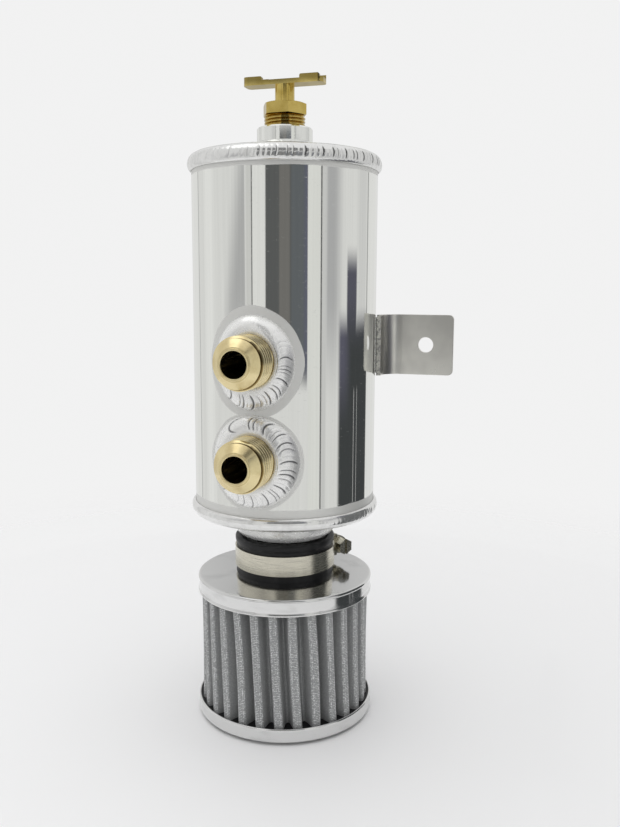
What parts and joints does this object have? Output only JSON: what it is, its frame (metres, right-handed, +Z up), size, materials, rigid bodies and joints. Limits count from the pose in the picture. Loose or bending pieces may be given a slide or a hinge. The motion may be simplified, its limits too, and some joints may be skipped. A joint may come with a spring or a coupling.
{
  "type": "oil catch can",
  "caption": "Upright welded aluminium catch can on a clamped pleated breather filter, with flare ports on the front, a side bracket and a drain tap on top",
  "frame": {"origin": "centre of the filter's flat foot, on the surface that the can stands on", "axes": "+Z is up along the axis of the can, from the filter to the drain tap; -Y is the way the two ports face; +X is the bracket's side"},
  "size_m": [0.1157, 0.1041, 0.2891],
  "materials": {
    "polished_aluminium": "polished, with faint upright grain",
    "weld_aluminium": "rippled bead",
    "bracket_aluminium": "satin sheet",
    "fitting_brass": "turned, pale gold",
    "tap_brass": "turned and stamped",
    "cap_chrome": "bright plated sheet",
    "clamp_steel": "rolled strip",
    "black_rubber": "moulded, satin",
    "filter_media": "wire gauze over pleated cloth"
  },
  "bodies": {
    "can": {"tank_tube": "polished_aluminium", "drain_end_plate": "polished_aluminium", "breather_end_plate": "polished_aluminium", "drain_end_weld": "weld_aluminium", "breather_end_weld": "weld_aluminium", "breather_neck": "polished_aluminium", "breather_neck_weld": "weld_aluminium", "upper_port_bung": "polished_aluminium", "lower_port_bung": "polished_aluminium", "upper_port_weld": "weld_aluminium", "lower_port_weld": "weld_aluminium", "upper_port_fitting": "fitting_brass", "lower_port_fitting": "fitting_brass", "mounting_bracket": "bracket_aluminium", "bracket_weld": "weld_aluminium", "drain_bung": "polished_aluminium", "drain_bung_weld": "weld_aluminium", "tap_body": "tap_brass", "filter_base": "black_rubber", "filter_base_cap": "cap_chrome", "filter_element": "filter_media", "filter_top_cap": "cap_chrome", "filter_neck": "black_rubber", "clamp_band": "clamp_steel", "clamp_housing": "clamp_steel"},
    "stem_seal": {"stem_seal": "black_rubber"},
    "tap_spindle": {"tap_stem": "tap_brass", "tap_handle": "tap_brass"},
    "clamp_screw": {"clamp_screw": "clamp_steel"}
  },
  "joints": [
    {"name": "stem_lift", "type": "slide", "parent": "can", "child": "stem_seal", "axis": [0, 0, 1], "range_m": [0, 0.00238]},
    {"name": "stem_turn", "type": "hinge", "parent": "stem_seal", "child": "tap_spindle", "pos_m": [0, 0, 0.28], "axis": [0, 0, 1], "range_deg": [0, 810]},
    {"name": "clamp_turn", "type": "hinge", "parent": "can", "child": "clamp_screw", "pos_m": [0.01583, 0.02261, 0.07545], "axis": [0.8192, -0.5736, 0], "range_deg": [0, 1800]}
  ],
  "couplings": [
    {"joint": "stem_lift", "follows": "stem_turn", "m_per_rad": 0.00016844}
  ]
}
